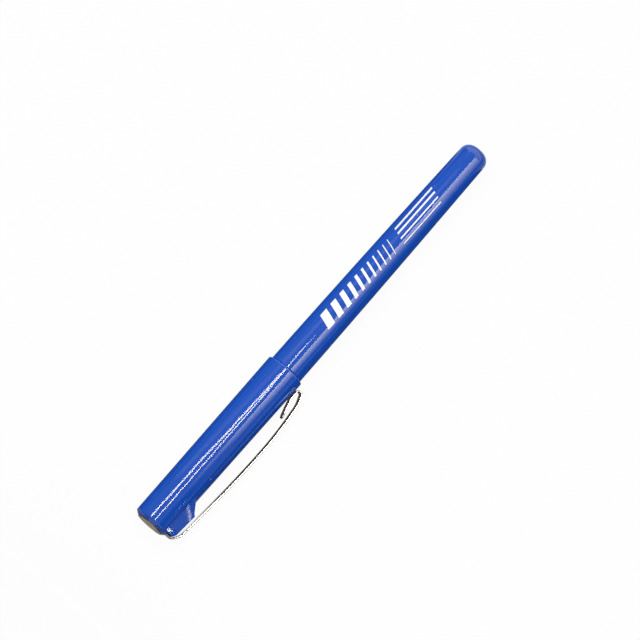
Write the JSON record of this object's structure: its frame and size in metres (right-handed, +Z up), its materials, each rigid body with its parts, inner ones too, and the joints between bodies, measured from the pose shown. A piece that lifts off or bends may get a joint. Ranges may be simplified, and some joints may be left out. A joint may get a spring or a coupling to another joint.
{
  "type": "fineliner pen",
  "caption": "Capped fineliner pen: a tapered barrel with a steel-sheathed fibre-fed point, and a pull-off cap with a bowed spring-steel pocket clip.",
  "frame": {"origin": "on the table under the middle of the capped pen's bounding box, where the pen lies on its clip and its cap", "axes": "+X along the pen towards the tail, +Z up from the table, and the clip on the -Y side"},
  "size_m": [0.1372, 0.0156, 0.0114],
  "materials": {
    "blue_plastic": "glossy moulded blue",
    "disc_metal": "satin grey",
    "clip_steel": "polished",
    "liner_plastic": "natural white",
    "holder_plastic": "satin black",
    "sleeve_steel": "drawn tube",
    "nib_plastic": "inked",
    "fibre": "inked fibre",
    "film": "clear film"
  },
  "bodies": {
    "pen": {"barrel": "blue_plastic", "nib_holder": "holder_plastic", "point_sleeve": "sleeve_steel", "nib": "nib_plastic", "feed_wick": "fibre", "ink_reservoir": "fibre", "reservoir_wrap": "film"},
    "cap": {"cap_shell": "blue_plastic", "crown_plug": "blue_plastic", "crown_disc": "disc_metal", "inner_cap": "liner_plastic"},
    "clip": {"pocket_clip": "clip_steel"}
  },
  "joints": [
    {"name": "cap_pull", "type": "slide", "parent": "pen", "child": "cap", "axis": [-1, 0, 0], "range_m": [0, 0.06]},
    {"name": "clip_flex", "type": "hinge", "parent": "cap", "child": "clip", "pos_m": [-0.06734, -0.00218, 0.0038], "axis": [0, 0.4024, -0.9155], "range_deg": [0, 3], "stiffness_Nm_per_rad": 0.3, "springref_deg": -1.15}
  ]
}
